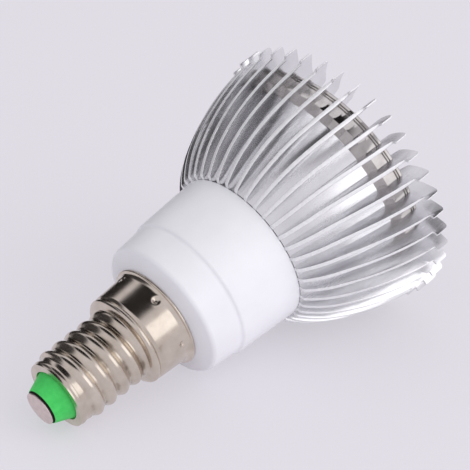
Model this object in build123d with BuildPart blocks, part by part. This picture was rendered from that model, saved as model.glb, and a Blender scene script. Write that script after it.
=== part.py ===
from build123d import *
import os

# LED grow light bulb with a small screw cap, in millimetres.
# It stands on the noses of its cooling fins: the origin is the centre of that plane, and +Z runs to the cap.
os.makedirs("parts", exist_ok=True)

# Fins of the heat sink: one bent section, turned to one outline
fin_count = 42
fin_thickness = 0.75
fin_bend_radius = 20.6
fin_lean_angle = 15.5
rim_radius = 26.1
rim_step = 0.9
rim_height = 2.9
nose_rounding = 0.7
nose_inner_radius = 19.2
nose_slope = 1.6
sink_height = 25.5
fin_bulge = 0.98
fin_waist_radius = 19.25
fin_waist_height = 20.9
fin_back_radius = 15.4
fin_back_bulge = 0.22
fin_back_rounding = 0.3

# Core of the heat sink: a ring at the front and a bowl that narrows to the neck
ring_radius = 22.4
ring_front = 2.9
ring_length = 3.8
ring_shoulder = 1.2
core_back_radius = 14.5
core_wall = 2.1
floor_thickness = 3.0
wire_hole_radius = 1.6

# Light chamber in the front of the heat sink, closed by a clear lens
fit_clearance = 0.1
lens_radius = 18.5
lens_thickness = 1.6
lens_inset = 0.5
ledge_width = 1.0
chamber_depth = 3.3

# Light board, with its emitters and screws
board_thickness = 1.2
board_margin = 0.3
emitter_length = 3.5
emitter_width = 2.8
emitter_height = 0.8
emitter_wall = 0.4
emitter_cup_depth = 0.3
screw_count = 3
screw_start_angle = 20.0
screw_radius = 0.8
screw_length = 4.0
screw_head_radius = 1.5
screw_head_height = 1.0

# Rings of emitters: radius, angle of the first one, and the colours in turn
emitter_rings = [
    (4.2, 45.0, ["red", "blue", "red", "blue"]),
    (9.3, 0.0, ["red", "white", "red", "blue", "red", "far_red", "red", "blue", "red"]),
    (14.3, 12.0, 3 * ["red", "blue", "red", "violet", "red"]),
]

# Neck housing: two tapering lengths with a step, and a spigot at each end
neck_length = 20.3
neck_front_length = 11.9
neck_front_radius = 14.5
neck_front_end_radius = 13.9
neck_back_radius = 13.2
neck_back_end_radius = 12.9
neck_step_chamfer = 0.4
neck_end_rounding = 1.6
neck_wall = 2.3
spigot_wall = 1.4
spigot_length = 4.0
cap_spigot_length = 5.0
cap_spigot_tip_length = 9.0
cap_spigot_bore_radius = 4.2

# Screw cap: flared mouth, skirt, rolled bead, thread and sloping end
thread_pitch = 2.822
thread_major_radius = 6.945
thread_minor_radius = 6.145
thread_crest_width = 0.7
thread_root_width = 0.5
thread_overlap = 0.2
thread_length = 13.0
cap_wall = 0.45
cap_lip = 1.2
skirt_mouth_radius = 8.82
skirt_end_radius = 8.56
skirt_length = 6.3
flare_radius = 9.65
flare_height = 1.1
flare_edge = 0.35
crease_depth = 0.3
crease_height = 0.3
bead_radius = 8.5
bead_height = 1.9
shoulder_radius = 7.6
cap_end_radius = 5.6
cap_end_height = 1.6
dimple_count = 6
dimple_start_angle = 15.5
dimple_height = 1.7
dimple_radius = 0.8
dimple_depth = 0.25

# Insulating plug and contact in the end of the cap
plug_length = 4.0
insulator_base_radius = 4.85
insulator_tip_radius = 3.3
insulator_height = 3.1
contact_radius = 3.1
contact_thickness = 0.6
contact_chamfer = 0.2
eyelet_radius = 0.9
eyelet_length = 5.0

# Driver board in the neck, and what is soldered to it
driver_thickness = 1.0
driver_reach = 1.5
guide_depth = 1.2
guide_half_width = 1.5
component_gap = 0.3
solder_length = 2.4
transformer_width = 10.0
transformer_depth = 8.0
transformer_length = 8.5
transformer_plate = 1.8
transformer_leg = 1.3
winding_radius = 3.3
winding_core_radius = 2.0
input_capacitor_radius = 3.9
output_capacitor_radius = 3.1
chip_width = 4.9
chip_height = 1.5
chip_length = 3.9
bridge_width = 4.7
bridge_height = 2.4
bridge_length = 3.9
lead_radius = 0.4
lead_landing = 3.4
neutral_lead_offset = 2.6
resistor_radius = 1.2
resistor_length = 7.0

# Heights and radii that follow from the sizes above
lens_front = ring_front + lens_inset
ledge_height = lens_front + lens_thickness
floor_height = ledge_height + chamber_depth
cavity_floor = floor_height + floor_thickness
board_front = floor_height - board_thickness
lens_seat_radius = lens_radius + fit_clearance
chamber_radius = lens_seat_radius - ledge_width
cavity_radius = core_back_radius - core_wall
spigot_radius = cavity_radius - fit_clearance
screw_circle_radius = emitter_rings[1][0]
neck_step = sink_height + neck_front_length
neck_end = sink_height + neck_length
neck_bore_radius = spigot_radius - spigot_wall
neck_bore_end = neck_end - neck_wall
skirt_end = neck_end + skirt_length
shoulder_end = skirt_end + bead_height
thread_start = shoulder_end - thread_overlap
thread_end = shoulder_end + thread_length
cap_end = thread_end + cap_end_height
cap_step = neck_end + cap_spigot_length
spigot_end = cap_step + cap_spigot_tip_length
shell_bore_radius = thread_minor_radius - cap_wall
skirt_bore_radius = skirt_end_radius - cap_wall - crease_depth
insulator_end = cap_end + insulator_height
driver_bottom = sink_height - spigot_length - driver_reach
driver_half_width = neck_bore_radius - board_margin
driver_face = driver_thickness / 2
lead_offset = driver_face + lead_radius
parts_bottom = driver_bottom + solder_length + component_gap
parts_top = neck_bore_end - solder_length - component_gap


# One fin: a plate of the turned outline, cut to a section that leans over towards the rim
with BuildPart() as fin:
    with BuildSketch(Plane.XZ) as fin_outline:
        with BuildLine():
            nose = Polyline(
                (nose_inner_radius, ring_front),
                (nose_inner_radius + nose_slope, 0),
                (rim_radius, 0),
                (rim_radius, rim_height),
                (rim_radius - rim_step, rim_height),
            )
            side = SagittaArc(nose @ 1, (fin_waist_radius, fin_waist_height), -fin_bulge)
            back = SagittaArc(side @ 1, (fin_back_radius, sink_height), -fin_back_bulge)
            Polyline(back @ 1, (core_back_radius - core_wall / 2, sink_height), nose @ 0)
        make_face()
        nose_corner = fin_outline.vertices().sort_by_distance((rim_radius, 0))[0]
        fillet(nose_corner, nose_rounding)
        back_corner = fin_outline.vertices().sort_by_distance((fin_back_radius, sink_height))[0]
        fillet(back_corner, fin_back_rounding)
    extrude(amount=rim_radius / 4, both=True)
    with BuildSketch() as fin_section:
        with BuildLine():
            root = Line((core_back_radius - core_wall, 0), (fin_bend_radius, 0))
            lean = rim_radius + fin_thickness - fin_bend_radius
            PolarLine(root @ 1, lean, -fin_lean_angle, length_mode=LengthMode.HORIZONTAL)
            offset(amount=fin_thickness / 2, kind=Kind.INTERSECTION, side=Side.BOTH)
        make_face()
    extrude(amount=sink_height, mode=Mode.INTERSECT)

# Heat sink: a turned core with the fins around it, a light chamber in front and a cavity behind
with BuildPart() as heat_sink:
    with BuildSketch(Plane.XZ):
        with BuildLine():
            Polyline(
                (wire_hole_radius, floor_height),
                (chamber_radius, floor_height),
                (chamber_radius, ledge_height),
                (lens_seat_radius, ledge_height),
                (lens_seat_radius, ring_front),
                (ring_radius, ring_front),
                (ring_radius, ring_front + ring_length),
                (ring_radius - ring_shoulder, ring_front + ring_length + ring_shoulder),
                (core_back_radius, sink_height),
                (cavity_radius, sink_height),
                (cavity_radius, cavity_floor),
                (wire_hole_radius, cavity_floor),
                close=True,
            )
        make_face()
    revolve(axis=Axis.Z)
    with PolarLocations(0, fin_count):
        add(fin.part)
    with BuildSketch(Plane.XY.offset(floor_height)):
        with PolarLocations(screw_circle_radius, screw_count, start_angle=screw_start_angle):
            Circle(screw_radius + fit_clearance / 2)
    extrude(amount=floor_thickness, mode=Mode.SUBTRACT)
heat_sink.part.label = "heat_sink"
export_step(heat_sink.part, "parts/heat_sink.step")

# Clear lens, seated on the ledge of the light chamber
with BuildPart() as front_lens:
    with BuildSketch(Plane.XY.offset(lens_front)):
        Circle(lens_radius)
    extrude(amount=lens_thickness)
front_lens.part.label = "front_lens"
export_step(front_lens.part, "parts/front_lens.step")

# Metal-core light board, flat on the floor of the chamber
with BuildPart() as led_board:
    with BuildSketch(Plane.XY.offset(board_front)):
        Circle(chamber_radius - board_margin)
        Circle(wire_hole_radius, mode=Mode.SUBTRACT)
        with PolarLocations(screw_circle_radius, screw_count, start_angle=screw_start_angle):
            Circle(screw_radius + fit_clearance, mode=Mode.SUBTRACT)
    extrude(amount=board_thickness)
led_board.part.label = "led_board"
export_step(led_board.part, "parts/led_board.step")

# Three cheese-head screws that hold the board down
with BuildPart() as board_screws:
    with PolarLocations(screw_circle_radius, screw_count, start_angle=screw_start_angle):
        with Locations((0, 0, board_front)):
            Cylinder(screw_radius, screw_length, align=(Align.CENTER, Align.CENTER, Align.MIN))
            Cylinder(screw_head_radius, screw_head_height, align=(Align.CENTER, Align.CENTER, Align.MAX))
board_screws.part.label = "board_screws"
export_step(board_screws.part, "parts/board_screws.step")

# Emitters: packages with a shallow cup, in rings on the board
emitter_counts = {}
for ring_place, first_angle, colours in emitter_rings:
    for place, colour in enumerate(colours):
        with BuildPart() as emitter:
            with PolarLocations(ring_place, 1, start_angle=first_angle + place * 360 / len(colours)):
                with Locations((0, 0, board_front)):
                    Box(
                        emitter_length,
                        emitter_width,
                        emitter_height,
                        align=(Align.CENTER, Align.CENTER, Align.MAX),
                    )
                with Locations((0, 0, board_front - emitter_height)):
                    Box(
                        emitter_length - 2 * emitter_wall,
                        emitter_width - 2 * emitter_wall,
                        emitter_cup_depth,
                        align=(Align.CENTER, Align.CENTER, Align.MIN),
                        mode=Mode.SUBTRACT,
                    )
        emitter_counts[colour] = emitter_counts.get(colour, 0) + 1
        emitter_name = f"led_{colour}_{emitter_counts[colour]}"
        emitter.part.label = emitter_name
        export_step(emitter.part, f"parts/{emitter_name}.step")

# Neck housing: one turned moulding, with a bore for the driver and guides for its board
with BuildPart() as neck_housing:
    with BuildSketch(Plane.XZ) as neck_outline:
        with BuildLine():
            Polyline(
                (neck_bore_radius, sink_height - spigot_length),
                (spigot_radius, sink_height - spigot_length),
                (spigot_radius, sink_height),
                (neck_front_radius, sink_height),
                (neck_front_end_radius, neck_step),
                (neck_back_radius, neck_step),
                (neck_back_end_radius, neck_end),
                (skirt_bore_radius - fit_clearance, neck_end),
                (skirt_bore_radius - fit_clearance, cap_step),
                (shell_bore_radius - fit_clearance, cap_step),
                (shell_bore_radius - fit_clearance, spigot_end),
                (cap_spigot_bore_radius, spigot_end),
                (cap_spigot_bore_radius, neck_bore_end),
                (neck_bore_radius, neck_bore_end),
                close=True,
            )
        make_face()
        step_corner = neck_outline.vertices().sort_by_distance((neck_front_end_radius, neck_step))[0]
        chamfer(step_corner, neck_step_chamfer)
        end_corner = neck_outline.vertices().sort_by_distance((neck_back_end_radius, neck_end))[0]
        fillet(end_corner, neck_end_rounding)
    revolve(axis=Axis.Z)
    with BuildSketch(Plane.XY.offset(sink_height)):
        with PolarLocations(neck_bore_radius, 2):
            Rectangle(2 * guide_depth, 2 * guide_half_width)
        Rectangle(
            2 * (driver_half_width + fit_clearance),
            driver_thickness + fit_clearance,
            mode=Mode.SUBTRACT,
        )
    extrude(amount=neck_bore_end - sink_height)
neck_housing.part.label = "neck_housing"
export_step(neck_housing.part, "parts/neck_housing.step")

# Screw cap: a thread swept along a helix on a turned core, with a turned skirt below it
thread_depth = thread_major_radius - thread_minor_radius
thread_slope = (thread_pitch - thread_root_width - thread_crest_width) / 2 / thread_depth
thread_foot = thread_crest_width / 2 + thread_slope * (thread_depth + cap_wall / 2)
with BuildPart() as cap_shell:
    with Locations((0, 0, (thread_start + cap_end) / 2)):
        Cylinder(thread_minor_radius, cap_end - thread_start + 2 * thread_pitch)
    with BuildLine(Plane.XY.offset(thread_start)) as thread_path:
        Helix(pitch=thread_pitch, height=cap_end - thread_start, radius=thread_minor_radius)
    with BuildSketch(Plane(thread_path.line @ 0, x_dir=(1, 0, 0), z_dir=thread_path.line % 0)):
        with BuildLine():
            Polyline(
                (-cap_wall / 2, -thread_foot),
                (thread_depth, -thread_crest_width / 2),
                (thread_depth, thread_crest_width / 2),
                (-cap_wall / 2, thread_foot),
                close=True,
            )
        make_face()
    sweep(path=thread_path.line, is_frenet=True)
    with BuildSketch(Plane.XZ):
        with BuildLine():
            Polyline(
                (0, thread_start),
                (thread_major_radius + cap_wall, thread_start),
                (thread_major_radius + cap_wall, thread_end - thread_pitch / 2),
                (cap_end_radius, cap_end),
                (0, cap_end),
                close=True,
            )
        make_face()
    revolve(axis=Axis.Z, mode=Mode.INTERSECT)
    with BuildSketch(Plane.XZ):
        with BuildLine():
            Polyline(
                (0, neck_end),
                (flare_radius, neck_end),
                (flare_radius, neck_end + flare_edge),
                (skirt_mouth_radius, neck_end + flare_height),
                (skirt_end_radius, skirt_end),
                (skirt_end_radius - crease_depth, skirt_end + crease_height),
                (bead_radius, skirt_end + bead_height / 2),
                (shoulder_radius, shoulder_end),
                (0, shoulder_end),
                close=True,
            )
        make_face()
    revolve(axis=Axis.Z)
    with BuildSketch(Plane.XZ):
        with BuildLine():
            Polyline(
                (0, neck_end),
                (skirt_bore_radius, neck_end),
                (skirt_bore_radius, skirt_end),
                (shell_bore_radius, skirt_end + bead_height / 2),
                (shell_bore_radius, cap_end - cap_lip),
                (insulator_base_radius, cap_end - cap_lip),
                (insulator_base_radius, cap_end),
                (0, cap_end),
                close=True,
            )
        make_face()
    revolve(axis=Axis.Z, mode=Mode.SUBTRACT)
    dimple_place = skirt_mouth_radius + dimple_radius - dimple_depth
    with PolarLocations(dimple_place, dimple_count, start_angle=dimple_start_angle):
        with Locations((0, 0, neck_end + dimple_height)):
            Sphere(dimple_radius, mode=Mode.SUBTRACT)
cap_shell.part.label = "cap_shell"
export_step(cap_shell.part, "parts/cap_shell.step")

# Insulating plug: behind the lip of the cap, with a cone outside and a hole for the contact
with BuildPart() as cap_insulator:
    with BuildSketch(Plane.XZ):
        with BuildLine():
            Polyline(
                (eyelet_radius, cap_end - cap_lip - plug_length),
                (shell_bore_radius - fit_clearance, cap_end - cap_lip - plug_length),
                (shell_bore_radius - fit_clearance, cap_end - cap_lip),
                (insulator_base_radius - fit_clearance, cap_end - cap_lip),
                (insulator_base_radius - fit_clearance, cap_end),
                (insulator_tip_radius, insulator_end),
                (eyelet_radius, insulator_end),
                close=True,
            )
        make_face()
    revolve(axis=Axis.Z)
cap_insulator.part.label = "cap_insulator"
export_step(cap_insulator.part, "parts/cap_insulator.step")

# Centre contact: a disc with an eyelet through the plug
with BuildPart() as centre_contact:
    with Locations((0, 0, insulator_end)):
        Cylinder(contact_radius, contact_thickness, align=(Align.CENTER, Align.CENTER, Align.MIN))
        chamfer(centre_contact.edges().sort_by(Axis.Z)[-1], contact_chamfer)
        Cylinder(
            eyelet_radius - fit_clearance / 2,
            eyelet_length,
            align=(Align.CENTER, Align.CENTER, Align.MAX),
        )
centre_contact.part.label = "centre_contact"
export_step(centre_contact.part, "parts/centre_contact.step")

# Driver board: upright in the guides, up against the end wall of the neck
with BuildPart() as driver_board:
    with Locations((0, 0, driver_bottom)):
        Box(
            2 * driver_half_width,
            driver_thickness,
            neck_bore_end - driver_bottom,
            align=(Align.CENTER, Align.CENTER, Align.MIN),
        )
driver_board.part.label = "driver_board"
export_step(driver_board.part, "parts/driver_board.step")

# Transformer: two plates, a round middle leg and two side legs, with the winding on the middle one
transformer_bottom = parts_top - transformer_length
transformer_centre = driver_face + transformer_depth / 2
with BuildPart() as transformer_core:
    with Locations((0, transformer_centre, transformer_bottom + transformer_length / 2)):
        Box(transformer_width, transformer_depth, transformer_length)
        Box(
            transformer_width - 2 * transformer_leg,
            transformer_depth,
            transformer_length - 2 * transformer_plate,
            mode=Mode.SUBTRACT,
        )
        Cylinder(winding_core_radius, transformer_length - 2 * transformer_plate)
transformer_core.part.label = "transformer_core"
export_step(transformer_core.part, "parts/transformer_core.step")

with BuildPart() as transformer_winding:
    with Locations((0, transformer_centre, transformer_bottom + transformer_length / 2)):
        Cylinder(winding_radius, transformer_length - 2 * transformer_plate)
        Cylinder(winding_core_radius, transformer_length, mode=Mode.SUBTRACT)
transformer_winding.part.label = "transformer_winding"
export_step(transformer_winding.part, "parts/transformer_winding.step")

# Output capacitor: fills the length under the transformer
with BuildPart() as output_capacitor:
    with Locations((0, driver_face + output_capacitor_radius, parts_bottom)):
        Cylinder(
            output_capacitor_radius,
            transformer_bottom - component_gap - parts_bottom,
            align=(Align.CENTER, Align.CENTER, Align.MIN),
        )
output_capacitor.part.label = "output_capacitor"
export_step(output_capacitor.part, "parts/output_capacitor.step")

# Driver chip and bridge rectifier on the other face, with the input capacitor above them
with BuildPart() as driver_chip:
    with Locations((0, -driver_face, parts_bottom)):
        Box(chip_width, chip_height, chip_length, align=(Align.CENTER, Align.MAX, Align.MIN))
driver_chip.part.label = "driver_chip"
export_step(driver_chip.part, "parts/driver_chip.step")

bridge_bottom = parts_bottom + chip_length + component_gap
with BuildPart() as bridge_rectifier:
    with Locations((0, -driver_face, bridge_bottom)):
        Box(bridge_width, bridge_height, bridge_length, align=(Align.CENTER, Align.MAX, Align.MIN))
bridge_rectifier.part.label = "bridge_rectifier"
export_step(bridge_rectifier.part, "parts/bridge_rectifier.step")

input_capacitor_bottom = bridge_bottom + bridge_length + component_gap
with BuildPart() as input_capacitor:
    with Locations((0, -driver_face - input_capacitor_radius, input_capacitor_bottom)):
        Cylinder(
            input_capacitor_radius,
            parts_top - input_capacitor_bottom,
            align=(Align.CENTER, Align.CENTER, Align.MIN),
        )
input_capacitor.part.label = "input_capacitor"
export_step(input_capacitor.part, "parts/input_capacitor.step")

# Fuse resistor on the axis: its leads run up to the contact and down to the board
resistor_bottom = cap_step
resistor_top = resistor_bottom + resistor_length
with BuildPart() as fuse_resistor:
    with Locations((0, 0, resistor_bottom)):
        Cylinder(resistor_radius, resistor_length, align=(Align.CENTER, Align.CENTER, Align.MIN))
    with Locations((0, 0, resistor_top)):
        Cylinder(
            lead_radius,
            insulator_end - eyelet_length - resistor_top,
            align=(Align.CENTER, Align.CENTER, Align.MIN),
        )
    with BuildLine(Plane.YZ) as live_route:
        Polyline(
            (lead_offset, neck_bore_end - solder_length),
            (lead_offset, neck_end),
            (0, neck_end + cap_spigot_length / 2),
            (0, resistor_bottom),
        )
    with BuildSketch(Plane.XY.offset(neck_bore_end - solder_length)):
        with Locations((0, lead_offset)):
            Circle(lead_radius)
    sweep(path=live_route.line, transition=Transition.RIGHT)
fuse_resistor.part.label = "fuse_resistor"
export_step(fuse_resistor.part, "parts/fuse_resistor.step")

# Neutral lead: from the board, past the resistor and over the spigot's rim to the shell
with BuildPart() as neutral_lead:
    with BuildLine(Plane.YZ) as neutral_route:
        Polyline(
            (-lead_offset, neck_bore_end - solder_length),
            (-lead_offset, neck_end),
            (-neutral_lead_offset, neck_end + cap_spigot_length / 2),
            (-neutral_lead_offset, spigot_end + lead_radius),
            (-shell_bore_radius + fit_clearance / 2, spigot_end + lead_radius),
        )
    with BuildSketch(Plane.XY.offset(neck_bore_end - solder_length)):
        with Locations((0, -lead_offset)):
            Circle(lead_radius)
    sweep(path=neutral_route.line, transition=Transition.RIGHT)
neutral_lead.part.label = "neutral_lead"
export_step(neutral_lead.part, "parts/neutral_lead.step")

# Two leads from the driver board, through the floor, bent flat on the front of the light board
for lead_name, side in [("led_lead_plus", 1), ("led_lead_minus", -1)]:
    with BuildPart() as led_lead:
        with BuildLine(Plane.YZ) as led_route:
            Polyline(
                (side * lead_offset, driver_bottom + solder_length),
                (side * lead_offset, board_front - lead_radius),
                (side * lead_landing, board_front - lead_radius),
            )
        with BuildSketch(Plane.XY.offset(driver_bottom + solder_length)):
            with Locations((0, side * lead_offset)):
                Circle(lead_radius)
        sweep(path=led_route.line, transition=Transition.RIGHT)
    led_lead.part.label = lead_name
    export_step(led_lead.part, f"parts/{lead_name}.step")
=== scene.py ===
import math

import bmesh
import bpy
from mathutils import Matrix, Vector


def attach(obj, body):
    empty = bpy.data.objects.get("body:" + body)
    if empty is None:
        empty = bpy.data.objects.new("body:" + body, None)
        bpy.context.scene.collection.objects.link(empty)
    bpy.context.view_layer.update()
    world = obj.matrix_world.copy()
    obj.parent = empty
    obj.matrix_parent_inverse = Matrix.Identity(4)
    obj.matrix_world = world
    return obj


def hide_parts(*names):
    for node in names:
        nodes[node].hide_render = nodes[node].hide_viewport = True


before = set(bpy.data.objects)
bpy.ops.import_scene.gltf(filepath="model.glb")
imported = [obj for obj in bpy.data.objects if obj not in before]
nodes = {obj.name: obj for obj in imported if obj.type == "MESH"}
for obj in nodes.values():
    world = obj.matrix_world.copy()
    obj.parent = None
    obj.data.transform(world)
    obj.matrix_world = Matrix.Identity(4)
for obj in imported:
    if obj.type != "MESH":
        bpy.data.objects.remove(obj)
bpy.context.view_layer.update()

# Heat sink core: one bright aluminium forging, with a grooved ring at the front and a bowl behind it.
# It is turned on a lathe, so its half section is drawn corner by corner and spun round the axis.
# Sizes of pieces are millimetres, written as radius and height above the noses of the fins.
mm = 0.001
pick_slack = 0.001
merge_distance = 0.0005
smooth_angle = 32


def begin(name):
    """Starts a piece as a single point: a small square that is merged to its middle, left in edit mode."""
    bpy.ops.object.select_all(action="DESELECT")
    bpy.ops.mesh.primitive_plane_add(size=mm)
    piece = bpy.context.object
    piece.name = piece.data.name = name
    bpy.ops.object.mode_set(mode="EDIT")
    bpy.ops.mesh.select_mode(type="VERT")
    bpy.ops.mesh.merge(type="CENTER")
    return piece


def pick(piece, wanted):
    """Selects the points of a piece that pass a test on their place, given in millimetres."""
    bpy.ops.mesh.select_mode(type="VERT")
    bpy.ops.mesh.select_all(action="DESELECT")
    mesh = bmesh.from_edit_mesh(piece.data)
    for point in mesh.verts:
        point.select = wanted(point.co / mm)
    mesh.select_flush(True)
    bmesh.update_edit_mesh(piece.data)


def draw_section(piece, section):
    """Draws a half section from corner to corner, then rounds each corner that has a third number."""
    here = Vector((0, 0, 0))
    for number, corner in enumerate(section):
        step = Vector((corner[0] * mm, 0, corner[1] * mm)) - here
        if number == 0:
            bpy.ops.transform.translate(value=step)
        else:
            bpy.ops.mesh.extrude_vertices_move(TRANSFORM_OT_translate={"value": step})
        here += step
    for corner in section:
        if len(corner) == 3:
            place = Vector((corner[0], 0, corner[1]))
            pick(piece, lambda point: (point - place).length < pick_slack)
            bpy.ops.mesh.bevel(offset=corner[2] * mm, segments=5, affect="VERTICES")


def close_up(angle):
    """Merges seams, turns the faces outwards, leaves edit mode and smooths edges below an angle."""
    bpy.ops.mesh.select_all(action="SELECT")
    bpy.ops.mesh.remove_doubles(threshold=merge_distance * mm)
    bpy.ops.mesh.normals_make_consistent(inside=False)
    bpy.ops.object.mode_set(mode="OBJECT")
    bpy.ops.object.shade_smooth_by_angle(angle=math.radians(angle))


def turn(name, section, steps):
    """Spins a half section all the way round the axis, closed first unless it starts on the axis."""
    piece = begin(name)
    closing = [section[0][:2]] if section[0][0] > 0 else []
    draw_section(piece, section + closing)
    bpy.ops.mesh.select_all(action="SELECT")
    bpy.ops.mesh.spin(steps=steps, angle=2 * math.pi, center=(0, 0, 0), axis=(0, 0, 1))
    close_up(smooth_angle)
    return piece


def arc(start, end, rise, steps):
    """The points between two ends of a bow, which rises to the left of the way from start to end."""
    start, end = Vector(start), Vector(end)
    chord = end - start
    side = Vector((-chord.y, chord.x)).normalized()
    radius = (chord.length**2 / 4 + rise**2) / (2 * rise)
    half = math.asin(chord.length / 2 / radius)
    points = []
    for step in range(1, steps):
        turn_angle = half * (2 * step / steps - 1)
        along = chord.normalized() * radius * math.sin(turn_angle)
        across = side * (radius * math.cos(turn_angle) - radius + rise)
        points.append(tuple((start + end) / 2 + along + across))
    return points


ring_radius = 22.4
ring_front = 2.9
ring_back = 6.7
groove_heights = (3.72, 4.2)
groove_depth = 0.3
groove_width = 0.26
ring_shoulder = (21.2, 7.9)
bowl_end = (14.5, 25.4)
bowl_bow = 0.9
lens_bore_radius = 18.6
lens_ledge = 5.0
chamber_radius = 17.6
chamber_floor = 8.3
lead_hole_radius = 1.6
socket_radius = 12.4
socket_floor = 11.3
ring_section = [
    (lead_hole_radius, chamber_floor),
    (chamber_radius, chamber_floor),
    (chamber_radius, lens_ledge),
    (lens_bore_radius, lens_ledge),
    (lens_bore_radius, ring_front, 0.2),
    (ring_radius, ring_front, 0.25),
]
for groove in groove_heights:
    ring_section += [
        (ring_radius, groove - groove_width / 2, 0.06),
        (ring_radius - groove_depth, groove - groove_width / 2, 0.08),
        (ring_radius - groove_depth, groove + groove_width / 2, 0.08),
        (ring_radius, groove + groove_width / 2, 0.06),
    ]
ring_section += [(ring_radius, ring_back, 0.3), (*ring_shoulder, 0.4)]
bowl_section = arc(ring_shoulder, bowl_end, rise=-bowl_bow, steps=12)
socket_section = [
    bowl_end,
    (socket_radius, bowl_end[1]),
    (socket_radius, socket_floor),
    (lead_hole_radius, socket_floor),
]
heat_sink = turn("heat_sink_core", ring_section + bowl_section + socket_section, steps=168)

# One fin: a thin plate of the same forging, turned to the bowl's outline with a stepped lip at the rim.
# The outline is drawn flat and filled, cut into strips, given its thickness and then curled strip by strip.
fin_count = 42
fin_thickness = 0.75
fin_edge_round = 0.1
fin_tip_radius = 26.1
fin_rim_radius = 25.2
nose_inner_radius = 20.8
lip_height = 2.9
lip_thinning = ((4.6, 0.85), (3.7, 0.75), (2.85, 0.65))
lip_slack = 0.01
fin_waist = (19.25, 20.9)
fin_end = (15.4, 25.5)
fin_front_root = (19.15, 3.3)
fin_back_root_radius = 13.6
curl_start = 20.0
curl_strips = 6
curl_angle = 4.0
curl_shortening = 0.1


def unrolled(radius):
    """The place on the flat plate that lands on a radius once the plate is curled."""
    curled = max(radius - curl_start, 0) / (fin_tip_radius - curl_start)
    return radius + curl_shortening * curled**2


fin_outline = [
    fin_front_root,
    (nose_inner_radius, 0, 0.4),
    (fin_tip_radius, 0, 0.7),
    (fin_tip_radius, lip_height, 0.25),
    (fin_rim_radius, lip_height, 0.2),
]
fin_outline += arc((fin_rim_radius, lip_height), fin_waist, rise=-0.98, steps=14)
fin_outline += [fin_waist]
fin_outline += arc(fin_waist, fin_end, rise=-0.22, steps=6)
fin_outline += [(*fin_end, 0.3), (fin_back_root_radius, fin_end[1])]
fin = begin("fin")
draw_section(fin, [(unrolled(corner[0]), *corner[1:]) for corner in fin_outline])
bpy.ops.mesh.select_all(action="SELECT")
bpy.ops.mesh.edge_face_add()
for strip in range(curl_strips):
    bpy.ops.mesh.select_all(action="SELECT")
    bpy.ops.mesh.bisect(plane_co=((curl_start + strip) * mm, 0, 0), plane_no=(1, 0, 0))
for height, thinning in lip_thinning:
    bpy.ops.mesh.select_all(action="SELECT")
    bpy.ops.mesh.bisect(plane_co=(0, 0, height * mm), plane_no=(0, 0, 1))
bpy.ops.mesh.select_all(action="SELECT")
bpy.ops.transform.translate(value=(0, -fin_thickness / 2 * mm, 0))
bpy.ops.mesh.extrude_region_move(TRANSFORM_OT_translate={"value": (0, fin_thickness * mm, 0)})
bpy.ops.mesh.select_all(action="SELECT")
bpy.ops.mesh.normals_make_consistent(inside=False)
bpy.ops.mesh.select_mode(type="EDGE")
bpy.ops.mesh.select_all(action="DESELECT")
bpy.ops.mesh.edges_select_sharp(sharpness=math.radians(60))
bpy.ops.mesh.bevel(offset=fin_edge_round * mm, segments=2, affect="EDGES")
for height, thinning in lip_thinning:
    pick(fin, lambda point: point.z < height + lip_slack)
    bpy.ops.transform.resize(value=(1, thinning, 1), center_override=(0, 0, 0))
for strip in reversed(range(curl_strips)):
    pick(fin, lambda point: point.x > curl_start + strip + pick_slack)
    bpy.ops.transform.rotate(
        value=math.radians(curl_angle),
        orient_axis="Z",
        center_override=((curl_start + strip) * mm, 0, 0),
    )
close_up(smooth_angle)
bpy.ops.object.mode_set(mode="EDIT")
bpy.ops.mesh.select_all(action="SELECT")
around = 2 * math.pi * (fin_count - 1) / fin_count
bpy.ops.mesh.spin(steps=fin_count - 1, angle=around, dupli=True, center=(0, 0, 0), axis=(0, 0, 1))
bpy.ops.object.mode_set(mode="OBJECT")


class Wire:
    """A socket of a material. Arithmetic on it adds Math nodes, and node() adds any other kind of node."""

    def __init__(self, tree, socket=None):
        self.tree = tree
        self.socket = socket

    def node(self, kind, settings=(), sockets=(), output=0):
        """Adds a node: first its settings, then a value or a wire for each of its sockets."""
        made = self.tree.nodes.new("ShaderNode" + kind)
        for name, value in dict(settings).items():
            if name == "stops":
                ramp = made.color_ramp.elements
                ramp[0].position, ramp[0].color = value[0]
                ramp[1].position, ramp[1].color = value[-1]
                for place, colour in value[1:-1]:
                    ramp.new(place).color = colour
            else:
                setattr(made, name, value)
        for name, value in dict(sockets).items():
            if isinstance(value, Wire):
                self.tree.links.new(value.socket, made.inputs[name])
            else:
                made.inputs[name].default_value = value
        return Wire(self.tree, made.outputs[output])

    def maths(self, operation, first, second):
        return self.node("Math", {"operation": operation}, {0: first, 1: second})

    def __add__(self, other):
        return self.maths("ADD", self, other)

    def __radd__(self, other):
        return self.maths("ADD", other, self)

    def __sub__(self, other):
        return self.maths("SUBTRACT", self, other)

    def __rsub__(self, other):
        return self.maths("SUBTRACT", other, self)

    def __mul__(self, other):
        return self.maths("MULTIPLY", self, other)

    def __rmul__(self, other):
        return self.maths("MULTIPLY", other, self)

    def into(self, shader, name):
        self.tree.links.new(self.socket, shader.inputs[name])


def start_finish(name, **sockets):
    """A new material, with its shader and a wire that holds the piece's own coordinates."""
    material = bpy.data.materials.new(name)
    material.use_nodes = True
    shader = material.node_tree.nodes["Principled BSDF"]
    for socket, value in sockets.items():
        shader.inputs[socket.replace("_", " ")].default_value = value
    return material, shader, Wire(material.node_tree).node("TexCoord", output="Object")


def noise(place, size, detail=3.0):
    """Noise with patches of about a size in millimetres."""
    return place.node("TexNoise", {}, {"Vector": place, "Scale": 1 / (size * mm), "Detail": detail})


def blend_colours(factor, low, high):
    """Goes from one colour to another over the middle of a factor's range."""
    return factor.node("ValToRGB", {"stops": [(0.3, low), (0.7, high)]}, {"Fac": factor})


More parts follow.
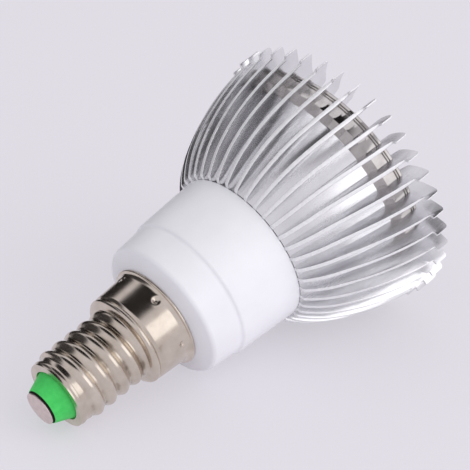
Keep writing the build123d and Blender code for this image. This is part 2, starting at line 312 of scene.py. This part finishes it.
def roughen(place, shader, height, strength, depth):
    """Feeds a height into the shader's normal as fine bumps of a depth in millimetres."""
    bump = place.node("Bump", {}, {"Height": height, "Strength": strength, "Distance": depth * mm}, "Normal")
    bump.into(shader, "Normal")


# Forged flanks of the fins and the bowl: satin, with clouds of duller metal and fine lines up the wall.
forged, shader, place = start_finish("forged_aluminium", Metallic=1.0)
clouds = noise(place, 5.0, detail=4.0)
lines = place.node("Mapping", {}, {"Vector": place, "Scale": (1.0, 1.0, 0.06)})
drawn_lines = noise(lines, 0.25, detail=2.0)
blend_colours(clouds, (0.78, 0.78, 0.79, 1), (0.89, 0.89, 0.90, 1)).into(shader, "Base Color")
(0.20 + 0.07 * clouds + 0.05 * drawn_lines).into(shader, "Roughness")
roughen(place, shader, drawn_lines + 0.4 * noise(place, 0.12), strength=0.25, depth=0.015)

# Turned edges of the fins: brighter and rougher, with the small pits that the tool leaves.
turned_edge, shader, place = start_finish("turned_aluminium", Metallic=0.3)
pits = noise(place, 0.35, detail=4.0)
blend_colours(pits, (0.80, 0.80, 0.81, 1), (0.93, 0.93, 0.94, 1)).into(shader, "Base Color")
(0.34 + 0.2 * pits).into(shader, "Roughness")
roughen(place, shader, pits, strength=0.5, depth=0.03)

# Ring at the front of the bowl: turned to a mirror, so that it shows the fins beside it. Its colour is
# painted shade: about half as bright as the rest of the forging, for the ring deep between the fins.
mirror_painted_shade, shader, place = start_finish("mirror_painted_shade_aluminium", Metallic=1.0)
smears = noise(place, 2.0)
# Painted shade: the ring's colour is kept darker than the fins' flanks.
blend_colours(smears, (0.42, 0.40, 0.385, 1), (0.52, 0.50, 0.485, 1)).into(shader, "Base Color")
(0.05 + 0.08 * smears).into(shader, "Roughness")

mirror_inner_radius = 20.9
mirror_back = 8.1
flank_lean = 0.4
for piece in (heat_sink, fin):
    piece.data.materials.append(forged)
    piece.data.materials.append(turned_edge)
    piece.data.materials.append(mirror_painted_shade)
for face in heat_sink.data.polygons:
    if face.center.z < mirror_back * mm and face.center.xy.length > mirror_inner_radius * mm:
        face.material_index = 2
for face in fin.data.polygons:
    outward = face.center.xy.normalized()
    across = Vector((-outward.y, outward.x))
    face.material_index = 1 if abs(face.normal.xy.dot(across)) < flank_lean else 0
bpy.ops.object.select_all(action="DESELECT")
fin.select_set(True)
heat_sink.select_set(True)
bpy.context.view_layer.objects.active = heat_sink
bpy.ops.object.join()
heat_sink.name = heat_sink.data.name = "finned_heat_sink"
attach(heat_sink, "root")
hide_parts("heat_sink")

# Light board: an aluminium-core disc under white lacquer, flat on the floor of the light chamber.
# The copper under the lacquer shows as three faint raised rings below the emitters.
inner_ring = 4.2
middle_ring = 9.3
outer_ring = 14.3
copper_half_width = 1.9
lacquer, shader, place = start_finish("white_lacquer", Roughness=0.4, Coat_Roughness=0.2)
flat_place = place.node("VectorMath", {"operation": "MULTIPLY"}, {0: place, 1: (1 / mm, 1 / mm, 0.0)})
axis_distance = place.node("VectorMath", {"operation": "LENGTH"}, {0: flat_place}, "Value")
copper = 0
for ring in (inner_ring, middle_ring, outer_ring):
    under_ring = {0: axis_distance, 1: ring, 2: copper_half_width}
    copper = axis_distance.node("Math", {"operation": "COMPARE"}, under_ring) + copper
blend_colours(copper, (0.80, 0.80, 0.78, 1), (0.86, 0.86, 0.85, 1)).into(shader, "Base Color")
roughen(place, shader, copper + 0.05 * noise(place, 0.3), strength=0.3, depth=0.05)
nodes["led_board"].material_slots[0].material = lacquer

# Emitters: 28 small moulded packages soldered to the board, each a white cup filled with clear tinted resin.
# One is modelled here, with its cup facing the front and its chip in the resin, then copied.
board_front = 7.1
emitter_length = 3.5
emitter_width = 2.8
emitter_height = 0.8
emitter_edge_round = 0.1
cup_wall = 0.3
cup_depth = 0.12
cup_taper = 0.94
chip_inset = 0.6
chip_depth = 0.02
small_piece_angle = 40
bpy.ops.object.select_all(action="DESELECT")
emitter_size = (emitter_length, emitter_width, emitter_height)
bpy.ops.mesh.primitive_cube_add(size=mm, location=(0, 0, 0), scale=emitter_size)
emitter = bpy.context.object
emitter.name = emitter.data.name = "emitter"
bpy.ops.object.transform_apply(location=True, rotation=True, scale=True)
bpy.ops.object.mode_set(mode="EDIT")
bpy.ops.mesh.select_all(action="SELECT")
bpy.ops.mesh.bevel(offset=emitter_edge_round * mm, segments=2, affect="EDGES")
pick(emitter, lambda point: point.z < pick_slack - emitter_height / 2)
bpy.ops.mesh.inset(thickness=cup_wall * mm)
bpy.ops.mesh.extrude_region_move(TRANSFORM_OT_translate={"value": (0, 0, cup_depth * mm)})
bpy.ops.transform.resize(value=(cup_taper, cup_taper, 1.0))
for slot in range(3):
    emitter.data.materials.append(None)
emitter.active_material_index = 1
bpy.ops.object.material_slot_assign()
bpy.ops.mesh.inset(thickness=chip_inset * mm, depth=chip_depth * mm)
emitter.active_material_index = 2
bpy.ops.object.material_slot_assign()
close_up(small_piece_angle)

package_white, shader, place = start_finish("package_white", Roughness=0.45)
blend_colours(noise(place, 0.6), (0.80, 0.79, 0.76, 1), (0.87, 0.87, 0.85, 1)).into(shader, "Base Color")
chip_gold, shader, place = start_finish("chip_gold", Metallic=1.0)
blend_colours(noise(place, 0.2), (0.55, 0.42, 0.16, 1), (0.80, 0.66, 0.34, 1)).into(shader, "Base Color")
(0.2 + 0.2 * noise(place, 0.2)).into(shader, "Roughness")

resin_colours = {
    "red": ((0.62, 0.10, 0.05, 1), (0.78, 0.17, 0.09, 1)),
    "blue": ((0.06, 0.16, 0.55, 1), (0.11, 0.25, 0.70, 1)),
    "white": ((0.80, 0.58, 0.10, 1), (0.88, 0.70, 0.20, 1)),
    "far_red": ((0.30, 0.03, 0.03, 1), (0.42, 0.06, 0.05, 1)),
    "violet": ((0.30, 0.10, 0.50, 1), (0.42, 0.18, 0.62, 1)),
}
resins = {}
for colour, (low, high) in resin_colours.items():
    resins[colour], shader, place = start_finish(f"resin_{colour}", Roughness=0.12, Coat_Weight=0.6)
    blend_colours(noise(place, 0.8), low, high).into(shader, "Base Color")

emitter_rings = [
    (inner_ring, 45.0, ["red", "blue", "red", "blue"]),
    (middle_ring, 0.0, ["red", "white", "red", "blue", "red", "far_red", "red", "blue", "red"]),
    (outer_ring, 12.0, 3 * ["red", "blue", "red", "violet", "red"]),
]
emitter_counts = {}
for ring, first_angle, colours in emitter_rings:
    for spot, colour in enumerate(colours):
        bpy.ops.object.select_all(action="DESELECT")
        emitter.select_set(True)
        bpy.context.view_layer.objects.active = emitter
        bpy.ops.object.duplicate(linked=False)
        copy = bpy.context.object
        emitter_counts[colour] = emitter_counts.get(colour, 0) + 1
        number = emitter_counts[colour]
        copy.name = copy.data.name = f"emitter_{colour}_{number}"
        angle = math.radians(first_angle + spot * 360 / len(colours))
        height = (board_front - emitter_height / 2) * mm
        copy.location = (ring * mm * math.cos(angle), ring * mm * math.sin(angle), height)
        copy.rotation_euler = (0, 0, angle)
        bpy.ops.object.transform_apply(location=True, rotation=True, scale=True)
        for slot, material in enumerate((package_white, resins[colour], chip_gold)):
            copy.data.materials[slot] = material
        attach(copy, "root")
        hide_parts(f"led_{colour}_{number}")
bpy.data.objects.remove(emitter)

# Board screws: three small cheese-head screws of bright steel that hold the board to the heat sink.
# The head is a bevelled disc with a cross recess cut by two crossed bars, on a plain shank.
screw_count = 3
first_screw_angle = 20
screw_head_radius = 1.5
screw_head_height = 1.0
screw_head_round = 0.3
screw_shank_radius = 0.8
screw_shank_length = 4.0
recess_bar = (1.7, 0.38, 0.9)
steel, shader, place = start_finish("screw_steel", Metallic=1.0)
wear = noise(place, 0.4)
blend_colours(wear, (0.50, 0.50, 0.52, 1), (0.68, 0.68, 0.70, 1)).into(shader, "Base Color")
(0.22 + 0.2 * wear).into(shader, "Roughness")
screws = []
for number in range(screw_count):
    angle = math.radians(first_screw_angle + number * 360 / screw_count)
    head_front = board_front - screw_head_height
    spot = Vector((middle_ring * math.cos(angle), middle_ring * math.sin(angle), 0)) * mm
    head_middle = spot + Vector((0, 0, (board_front - screw_head_height / 2) * mm))
    bpy.ops.object.select_all(action="DESELECT")
    bpy.ops.mesh.primitive_cylinder_add(
        vertices=48,
        radius=screw_head_radius * mm,
        depth=screw_head_height * mm,
        location=head_middle,
    )
    head = bpy.context.object
    head.name = f"screw_{number + 1}"
    bpy.ops.object.transform_apply(location=True, rotation=True, scale=True)
    bpy.ops.object.mode_set(mode="EDIT")
    pick(head, lambda point: point.z < head_front + pick_slack)
    bpy.ops.mesh.bevel(offset=screw_head_round * mm, segments=4, affect="EDGES")
    pick(head, lambda point: point.z > board_front - pick_slack)
    bpy.ops.mesh.inset(thickness=(screw_head_radius - screw_shank_radius) * mm)
    bpy.ops.mesh.extrude_region_move(TRANSFORM_OT_translate={"value": (0, 0, screw_shank_length * mm)})
    close_up(small_piece_angle)
    for bar in range(2):
        bpy.ops.object.select_all(action="DESELECT")
        bpy.ops.mesh.primitive_cube_add(
            size=mm,
            location=spot + Vector((0, 0, head_front * mm)),
            rotation=(0, 0, angle + bar * math.pi / 2),
            scale=recess_bar,
        )
        cutter = bpy.context.object
        bpy.context.view_layer.objects.active = head
        recess = head.modifiers.new("recess", "BOOLEAN")
        recess.object = cutter
        recess.solver = "EXACT"
        bpy.ops.object.modifier_apply(modifier=recess.name)
        bpy.data.objects.remove(cutter)
    head.data.materials.append(steel)
    screws.append(head)
bpy.ops.object.select_all(action="DESELECT")
for head in screws:
    head.select_set(True)
bpy.context.view_layer.objects.active = screws[0]
bpy.ops.object.join()
screws[0].name = screws[0].data.name = "board_screw_set"
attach(screws[0], "root")
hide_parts("board_screws")

# Leads from the driver to the light board: two sheathed wires through the hole in the middle of the board.
# Each ends in a rounded drop of solder on its pad.
solder_radius = 0.75
solder_stretch = (1.15, 1.0, 0.75)
solder_sink = 0.05
pad_depth = 0.07
pad_distance = 3.2
for lead, low, high in (
    ("led_lead_plus", (0.50, 0.02, 0.02, 1), (0.62, 0.05, 0.04, 1)),
    ("led_lead_minus", (0.015, 0.015, 0.016, 1), (0.035, 0.035, 0.037, 1)),
):
    sheath, shader, place = start_finish(f"{lead}_sheath", Roughness=0.4)
    blend_colours(noise(place, 0.8), low, high).into(shader, "Base Color")
    nodes[lead].material_slots[0].material = sheath
solder_tin, shader, place = start_finish("solder_tin", Metallic=1.0)
blend_colours(noise(place, 0.5), (0.60, 0.60, 0.62, 1), (0.78, 0.78, 0.80, 1)).into(shader, "Base Color")
(0.18 + 0.3 * noise(place, 0.4)).into(shader, "Roughness")
for name, side in (("solder_plus", 1), ("solder_minus", -1)):
    bpy.ops.object.select_all(action="DESELECT")
    bpy.ops.mesh.primitive_uv_sphere_add(segments=32, ring_count=16, radius=solder_radius * mm)
    drop = bpy.context.object
    drop.name = drop.data.name = name
    bpy.ops.object.mode_set(mode="EDIT")
    bpy.ops.transform.resize(value=solder_stretch)
    bpy.ops.transform.translate(value=(0, side * pad_distance * mm, (board_front - solder_sink) * mm))
    pick(drop, lambda point: point.z > board_front + pad_depth)
    bpy.ops.mesh.delete(type="VERT")
    bpy.ops.mesh.select_non_manifold()
    bpy.ops.mesh.edge_face_add()
    close_up(small_piece_angle)
    drop.data.materials.append(solder_tin)
    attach(drop, "root")

# Lens: a clear moulded disc that closes the light chamber, pressed in against a ledge of the heat sink.
# Its edges are rounded as the mould leaves them.
lens_radius = 18.45
lens_front = 3.4
lens_back = 4.99
lens_section = [
    (0, lens_front),
    (lens_radius, lens_front, 0.3),
    (lens_radius, lens_back, 0.2),
    (0, lens_back),
]
lens = turn("clear_lens", lens_section, steps=144)
clear, shader, place = start_finish("clear_lens", Transmission_Weight=1.0, IOR=1.49)
haze = noise(place, 3.0)
blend_colours(haze, (0.95, 0.96, 0.96, 1), (0.98, 0.985, 0.985, 1)).into(shader, "Base Color")
(0.015 + 0.03 * haze).into(shader, "Roughness")
lens.data.materials.append(clear)
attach(lens, "root")
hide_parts("front_lens")

# Driver: a small laminate board in the neck, with its transformer, capacitors, chips, resistor and leads.
# All of it is closed in by the neck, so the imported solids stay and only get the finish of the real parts.
# Each finish is two colours, a roughness and the size of its grain.
inner_finishes = {
    "driver_board": ((0.03, 0.16, 0.05, 1), (0.06, 0.25, 0.09, 1), 0.35, 2.0),
    "transformer_core": ((0.035, 0.035, 0.037, 1), (0.075, 0.075, 0.078, 1), 0.55, 0.5),
    "transformer_winding": ((0.62, 0.40, 0.05, 1), (0.80, 0.56, 0.10, 1), 0.3, 0.4),
    "output_capacitor": ((0.02, 0.03, 0.09, 1), (0.04, 0.06, 0.15, 1), 0.3, 1.5),
    "input_capacitor": ((0.02, 0.03, 0.09, 1), (0.04, 0.06, 0.15, 1), 0.3, 1.5),
    "driver_chip": ((0.015, 0.015, 0.016, 1), (0.03, 0.03, 0.032, 1), 0.5, 0.3),
    "bridge_rectifier": ((0.015, 0.015, 0.016, 1), (0.03, 0.03, 0.032, 1), 0.5, 0.3),
    "fuse_resistor": ((0.10, 0.28, 0.36, 1), (0.18, 0.40, 0.48, 1), 0.4, 0.7),
    "neutral_lead": ((0.03, 0.08, 0.42, 1), (0.06, 0.14, 0.55, 1), 0.4, 0.8),
}
for node, (low, high, roughness, grain) in inner_finishes.items():
    finish, shader, place = start_finish(f"{node}_finish")
    mottle = noise(place, grain)
    blend_colours(mottle, low, high).into(shader, "Base Color")
    (roughness - 0.1 + 0.2 * mottle).into(shader, "Roughness")
    roughen(place, shader, mottle, strength=0.2, depth=0.05)
    nodes[node].material_slots[0].material = finish

# Neck: one white plastic moulding in two slightly tapered lengths, with a fine step between them.
# One spigot is pressed into the back of the heat sink, and the other carries the screw cap.
# Two pairs of rails inside it guide the driver board.
neck_foot = 25.5
neck_bore_radius = 10.9
neck_bore_end = 43.5
sink_spigot_radius = 12.3
sink_spigot_end = 21.5
cap_spigot_radius = 7.7
cap_spigot_end = 50.8
lead_tube_radius = 5.59
lead_tube_bore = 4.2
lead_tube_end = 59.8
neck_section = [
    (neck_bore_radius, sink_spigot_end),
    (sink_spigot_radius, sink_spigot_end, 0.3),
    (sink_spigot_radius, neck_foot),
    (14.5, neck_foot, 0.15),
    (13.75, 38.1, 0.3),
    (13.35, 38.5, 0.3),
    (12.85, 44.4, 0.6),
    (9.5, 45.78),
    (cap_spigot_radius, 45.8),
    (cap_spigot_radius, cap_spigot_end),
    (lead_tube_radius, cap_spigot_end),
    (lead_tube_radius, lead_tube_end),
    (lead_tube_bore, lead_tube_end),
    (lead_tube_bore, neck_bore_end),
    (neck_bore_radius, neck_bore_end),
]
neck = turn("neck", neck_section, steps=160)
guide_size = (1.4, 0.94, 18.0)
guide_radius = 10.4
guide_offset = 1.03
guide_middle = 34.5
guide_edge_round = 0.1
for side in (-1, 1):
    for rail in (-1, 1):
        bpy.ops.object.select_all(action="DESELECT")
        bpy.ops.mesh.primitive_cube_add(
            size=mm,
            location=(side * guide_radius * mm, rail * guide_offset * mm, guide_middle * mm),
            scale=guide_size,
        )
        guide = bpy.context.object
        bpy.ops.object.transform_apply(location=True, rotation=True, scale=True)
        bpy.ops.object.mode_set(mode="EDIT")
        bpy.ops.mesh.bevel(offset=guide_edge_round * mm, segments=2, affect="EDGES")
        bpy.ops.object.mode_set(mode="OBJECT")
        neck.select_set(True)
        bpy.context.view_layer.objects.active = neck
        bpy.ops.object.join()
moulded, shader, place = start_finish("moulded_white", IOR=1.49, Specular_IOR_Level=0.3)
flow = noise(place, 9.0)
blend_colours(flow, (0.84, 0.84, 0.87, 1), (0.89, 0.89, 0.92, 1)).into(shader, "Base Color")
(0.28 + 0.1 * noise(place, 2.0)).into(shader, "Roughness")
roughen(place, shader, noise(place, 0.25), strength=0.06, depth=0.02)
neck.data.materials.append(moulded)
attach(neck, "root")
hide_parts("neck_housing")

# Screw cap: thin brass sheet, drawn into a cup, rolled with a round thread and nickel plated.
# A flared mouth and a skirt with six punch marks hold it on the neck.
# A bead divides the skirt from the thread, which runs out before the lip at the end.
skirt_radius = 8.86
skirt_front = 46.85
skirt_row = 0.18
skirt_narrowing = 0.0105
pitch = 2.822
crest_radius = 6.945
root_radius = 6.145
crest_fullness = 0.7
first_crest = 53.8
run_out_start = 66.0
run_out_end = 66.7
run_out_drop = 0.2
shoulder_start = 53.05
shoulder_length = 0.85
shoulder_foot = 6.2
shoulder_drop = 2.3
shoulder_fullness = 2.5
lip_foot = 5.2
lip_rise = 1.18
lip_middle = 67.72
lip_half_length = 0.84
cap_end = 68.6
thread_fillet = 0.25
lip_fillet = 0.12
cap_inner_end = 67.9
cap_thread_bore = 5.69
cap_skirt_bore = 7.75
cap_hole_radius = 4.78
skirt_section = [
    (8.3, 45.95),
    (9.0, 45.83, 0.1),
    (9.62, 45.83, 0.14),
    (9.62, 46.2, 0.14),
    (9.2, 46.32, 0.2),
    (skirt_radius, skirt_front, 0.3),
]
skirt_section += [
    (skirt_radius - skirt_narrowing * row, skirt_front + skirt_row * row) for row in range(2, 29)
]
skirt_section += [(8.52, 52.15), (8.36, 52.35), (8.28, 52.5), (8.36, 52.68), (8.46, 52.86)]
thread_section = []
for start, row_height, rows in ((shoulder_start, 0.08, 15), (54.3, 0.2, 64), (67.0, 0.1, 16)):
    thread_section += [(crest_radius, start + row_height * row) for row in range(rows)]
end_section = [
    (5.25, cap_end - 0.03),
    (5.05, cap_end),
    (4.88, cap_end - 0.06),
    (cap_hole_radius, cap_end - 0.25),
]
inner_section = [
    (cap_hole_radius, cap_inner_end),
    (cap_thread_bore, cap_inner_end),
    (cap_thread_bore, 53.2),
    (cap_skirt_bore, 52.2),
    (cap_skirt_bore, 46.4),
]
cap = turn("cap", skirt_section + thread_section + end_section + inner_section, steps=252)


def ease(value, low, high):
    """Goes smoothly from 0 at low to 1 at high."""
    part = min(max((value - low) / (high - low), 0), 1)
    return part * part * (3 - 2 * part)


def larger(first, second, soft):
    """The larger of two radii, with a soft fillet where they cross."""
    return (first + second + math.hypot(first - second, soft)) / 2


def rolled_radius(angle, height):
    """The radius of the rolled wall: bead and shoulder, then the round thread, then the lip at the end."""
    phase = 2 * math.pi * (height - first_crest) / pitch - angle
    wave = (0.5 + 0.5 * math.cos(phase)) ** crest_fullness
    fade = 1 - ease(height, run_out_start, run_out_end)
    thread = root_radius + (crest_radius - root_radius) * wave * fade - run_out_drop * (1 - fade)
    fall = min(max((height - shoulder_start) / shoulder_length, 0), 1)
    shoulder = shoulder_foot + shoulder_drop * math.sqrt(1 - fall**shoulder_fullness)
    along_lip = (height - lip_middle) / lip_half_length
    lip = lip_foot + lip_rise * math.sqrt(max(1 - along_lip**2, 0))
    return larger(larger(thread, shoulder, thread_fillet), lip, lip_fillet)


mark_spacing = 360 / 6
first_mark_angle = 15.5
mark_height = 47.6
mark_ring_radius = 8.82
mark_depth = 0.34
mark_radius = 0.5
mark_rim_height = 0.06
mark_rim_radius = 0.8
mark_rim_width = 0.25
rolled_zone_radius = 6.9
rolled_zone_start = 53.0
rolled_zone_end = 68.55
skirt_zone_radius = 8.0
skirt_zone_end = 50
for point in cap.data.vertices:
    radius = point.co.xy.length / mm
    height = point.co.z / mm
    angle = math.atan2(point.co.y, point.co.x)
    if radius > rolled_zone_radius and rolled_zone_start < height < rolled_zone_end:
        radius = rolled_radius(angle, height)
    elif radius > skirt_zone_radius and height < skirt_zone_end:
        from_gap = (math.degrees(angle) - first_mark_angle + mark_spacing / 2) % mark_spacing
        from_mark = math.radians(from_gap - mark_spacing / 2) * mark_ring_radius
        away = math.hypot(from_mark, height - mark_height)
        rim = mark_rim_height * math.exp(-(((away - mark_rim_radius) / mark_rim_width) ** 2))
        radius += rim - mark_depth * math.exp(-((away / mark_radius) ** 2))
    point.co.xy = point.co.xy.normalized() * radius * mm

# Nickel plate of the cap: bright, a little yellow and uneven, with painted shade darkening the valleys of the
# thread.
valley_radius = 6.2
flank_radius = 6.6
valley_shade_depth = 0.4
valley_shade_fade_start = 65.6
valley_shade_fade_end = 66.6


def fade_out(value, start, end, full, **settings):
    """Is full up to a start, and falls to nothing at an end."""
    sockets = {"Value": value, "From Min": start, "From Max": end, "To Min": full, "To Max": 0.0}
    return value.node("MapRange", settings, sockets)


nickel, shader, place = start_finish("nickel_plate", Metallic=1.0)
tarnish = noise(place, 3.0, detail=4.0)
flat = place.node("Mapping", {}, {"Vector": place, "Scale": (1.0, 1.0, 0.0)})
reach = place.node("VectorMath", {"operation": "LENGTH"}, {0: flat}, "Value")
height = place.node("SeparateXYZ", {}, {0: place}, "Z")
# Painted shade: the colour darkens in the thread's valleys and fades out before the lip.
low_ground = fade_out(reach, valley_radius * mm, flank_radius * mm, full=valley_shade_depth)
painted_valley_shade = low_ground * fade_out(height, valley_shade_fade_start * mm, valley_shade_fade_end * mm, full=1.0)
plated = [
    (0.1, (0.25, 0.205, 0.155, 1)),
    (0.3, (0.585, 0.515, 0.435, 1)),
    (0.7, (0.705, 0.635, 0.55, 1)),
]
place.node("ValToRGB", {"stops": plated}, {"Fac": tarnish - painted_valley_shade}).into(shader, "Base Color")
(0.14 + 0.12 * noise(place, 0.9)).into(shader, "Roughness")
roughen(place, shader, noise(place, 0.35), strength=0.08, depth=0.02)
cap.data.materials.append(nickel)
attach(cap, "root")
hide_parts("cap_shell")

# Insulator: a green glass-filled plug, pressed into the end of the cap, with a cone outside.
# Its end is coloured black in a thin ring round the contact: painted shade for the dark gap under the
# contact's edge.
eyelet_hole_radius = 0.9
plug_radius = 5.58
plug_back = 63.9
plug_front = 67.9
seat_radius = 3.04
seat_height = 72.04
gap_shade_start = 71.63
gap_shade_radius = 3.25
insulator_section = [
    (eyelet_hole_radius, plug_back),
    (plug_radius, plug_back),
    (plug_radius, plug_front),
    (4.74, plug_front),
    (4.72, 68.2, 0.1),
    (3.34, 71.62, 0.08),
    (seat_radius, 71.65),
    (seat_radius, seat_height),
    (eyelet_hole_radius, seat_height),
]
insulator = turn("insulator", insulator_section, steps=128)
green, shader, place = start_finish("insulator_green", Specular_IOR_Level=0.35)
mottle = noise(place, 1.2, detail=4.0)
blend_colours(mottle, (0.052, 0.63, 0.112, 1), (0.080, 0.72, 0.148, 1)).into(shader, "Base Color")
(0.42 + 0.15 * mottle).into(shader, "Roughness")
roughen(place, shader, noise(place, 0.2), strength=0.1, depth=0.02)
painted_gap_shade, shader, place = start_finish("black_painted_gap_shade", Specular_IOR_Level=0.2)
blend_colours(noise(place, 0.5), (0.008, 0.008, 0.007, 1), (0.02, 0.019, 0.018, 1)).into(shader, "Base Color")
(0.7 + 0.2 * noise(place, 0.3)).into(shader, "Roughness")
insulator.data.materials.append(green)
insulator.data.materials.append(painted_gap_shade)
# Painted shade: faces at the end of the plug next to the contact take the black finish.
for face in insulator.data.polygons:
    if face.center.z > gap_shade_start * mm and face.center.xy.length < gap_shade_radius * mm:
        face.material_index = 1
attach(insulator, "root")
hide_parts("cap_insulator")

# Centre contact: a dull tinned disc, held to the plug by the eyelet behind it.
# Its face is a little crowned and scuffed, with a rounded edge.
eyelet_radius = 0.85
eyelet_back = 66.9
contact_radius = 3.1
contact_back = 72.0
contact_section = [
    (0, eyelet_back),
    (eyelet_radius, eyelet_back),
    (eyelet_radius, contact_back),
    (contact_radius, contact_back, 0.06),
    (contact_radius, 72.2, 0.09),
    (2.4, 72.26),
    (1.2, 72.29),
    (0, 72.3),
]
contact = turn("contact", contact_section, steps=96)
tinned, shader, place = start_finish("tinned_contact", Metallic=1.0)
scuffs = noise(place, 0.8, detail=5.0)
blend_colours(scuffs, (0.70, 0.60, 0.58, 1), (0.84, 0.73, 0.70, 1)).into(shader, "Base Color")
(0.38 + 0.2 * scuffs).into(shader, "Roughness")
roughen(place, shader, scuffs, strength=0.15, depth=0.02)
contact.data.materials.append(tinned)
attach(contact, "root")
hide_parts("centre_contact")

# Camera: where the photograph was taken from, with the bulb lying on its side on a table.
# The part stands on its fins in this frame, so the view is turned with it.
view_right = Vector((0.35325, -0.61232, -0.7073))
view_up = Vector((0.24682, 0.79029, -0.5608))
view_back = Vector((0.90239, 0.02349, 0.4303))
camera_place = Vector((292.33, 10.07, 164.08))
bpy.ops.object.camera_add(location=camera_place * mm)
camera = bpy.context.object
camera.rotation_euler = Matrix((view_right, view_up, view_back)).transposed().to_euler()
camera.data.sensor_width = 36
camera.data.lens = 141.6
camera.data.clip_start = 0.01
bpy.context.scene.camera = camera

# Table: a plain pale sheet that touches the bulb at the fins' rim and the last turn of the thread.
# It is drawn on its upper side only, so that views from below look past it.
# What the camera and the metal see of it glows a little, so that it is pale without more light on the bulb.
table_up = Vector((0.64688, 0.70595, -0.2884))
table_near = view_right.cross(table_up).normalized()
table_turn = Matrix((view_right, -table_near, table_up)).transposed()
table_size = 6
table_drop = 25.95
table_glow = 0.65
bulb_middle = 36


def studio(right, up, near):
    """A place in the studio in metres from the bulb: to the camera's right, up and towards the camera."""
    return table_turn @ Vector((right, -near, up)) + Vector((0, 0, bulb_middle * mm))


def seen_rays(tree):
    """Is 1 for what is seen straight, in a shiny surface or through the lens, and 0 for other light."""
    camera_rays = Wire(tree).node("LightPath", output="Is Camera Ray")
    glossy_rays = Wire(tree).node("LightPath", output="Is Glossy Ray")
    return camera_rays + glossy_rays + Wire(tree).node("LightPath", output="Is Transmission Ray")


bpy.ops.object.select_all(action="DESELECT")
table_place = -table_drop * mm * table_up
bpy.ops.mesh.primitive_plane_add(size=table_size, location=table_place, rotation=table_turn.to_euler())
table = bpy.context.object
table.name = "table"
paper, shader, place = start_finish("table_paper", Roughness=0.75, Specular_IOR_Level=0.15)
shader.inputs["Base Color"].default_value = (0.90, 0.875, 0.93, 1)
tree = paper.node_tree
glow = Wire(tree).node("Emission", {}, {"Color": (0.75, 0.725, 0.785, 1), "Strength": 1.0})
lit_sheet = {0: table_glow * seen_rays(tree), 1: Wire(tree, shader.outputs[0]), 2: glow}
upper_side = Wire(tree).node("MixShader", {}, lit_sheet)
underside = Wire(tree).node("NewGeometry", output="Backfacing")
see_through = Wire(tree).node("BsdfTransparent")
one_sided = Wire(tree).node("MixShader", {}, {0: underside, 1: upper_side, 2: see_through})
one_sided.into(tree.nodes["Material Output"], "Surface")
table.data.materials.append(paper)

# Studio light: one large soft box at the right of the camera with a strip before it, in an even pale room.
# The soft box lights the matte surfaces, and shiny ones show the strip instead.
# Black cards with soft edges, which only shiny surfaces and the lens show, give the metal something dark. The
# small card low beside the bulb is a painted shadow: it stands for the bulb's shadow on the table as the
# metal shows it.


def facing_bulb(spot):
    """The turn of a lamp or a card at a spot that faces the bulb."""
    return (spot - studio(0, 0, 0)).to_track_quat("Z", "Y").to_euler()


for name, spot, width, height, energy, shows_in_metal in (
    ("key_box", studio(0.655, 0.394, 0.348), 1.25, 1.25, 3.0, False),
    ("strip_box", studio(0.628, 0.338, 0.363), 0.55, 0.9, 1.15, True),
):
    bpy.ops.object.light_add(type="AREA", location=spot)
    box = bpy.context.object
    box.name = name
    box.data.shape = "RECTANGLE"
    box.data.size = width
    box.data.size_y = height
    box.data.energy = energy
    box.visible_glossy = shows_in_metal
    box.rotation_euler = facing_bulb(spot)

edge_start = 0.55
for name, spot, size, density in (
    ("overhead_card", studio(-0.07, 0.74, 0.0), 1.15, 1.0),
    ("left_card", studio(-0.722, 0.267, -0.127), 1.15, 0.95),
    # Painted shadow: this card stands for the bulb's shadow on the table, seen only in shiny surfaces.
    ("table_shadow_card", studio(-0.058, 0.008, -0.105), 0.21, 1.0),
):
    bpy.ops.object.select_all(action="DESELECT")
    bpy.ops.mesh.primitive_plane_add(size=size, location=spot)
    card = bpy.context.object
    card.name = name
    card.rotation_euler = facing_bulb(spot)
    black, shader, place = start_finish(f"{name}_black", Roughness=0.9)
    shader.inputs["Base Color"].default_value = (0.012, 0.011, 0.010, 1)
    tree = black.node_tree
    reach = place.node("VectorMath", {"operation": "LENGTH"}, {0: place}, "Value") * (2 / size)
    cover = fade_out(reach, edge_start, 1.0, full=density, interpolation_type="SMOOTHSTEP")
    clear_edge = Wire(tree).node("BsdfTransparent")
    soft = Wire(tree).node("MixShader", {}, {0: cover, 1: clear_edge, 2: Wire(tree, shader.outputs[0])})
    soft.into(tree.nodes["Material Output"], "Surface")
    card.data.materials.append(black)
    card.visible_camera = False
    card.visible_diffuse = False
    card.visible_shadow = False

world = bpy.data.worlds.new("pale_room")
bpy.context.scene.world = world
world.use_nodes = True
room = world.node_tree.nodes["Background"]
seen = seen_rays(world.node_tree)
room_colours = {"stops": [(0.0, (0.69, 0.68, 0.71, 1)), (1.0, (0.76, 0.74, 0.79, 1))]}
seen.node("ValToRGB", room_colours, {"Fac": seen}).into(room, "Color")
bpy.context.scene.view_settings.view_transform = "Standard"
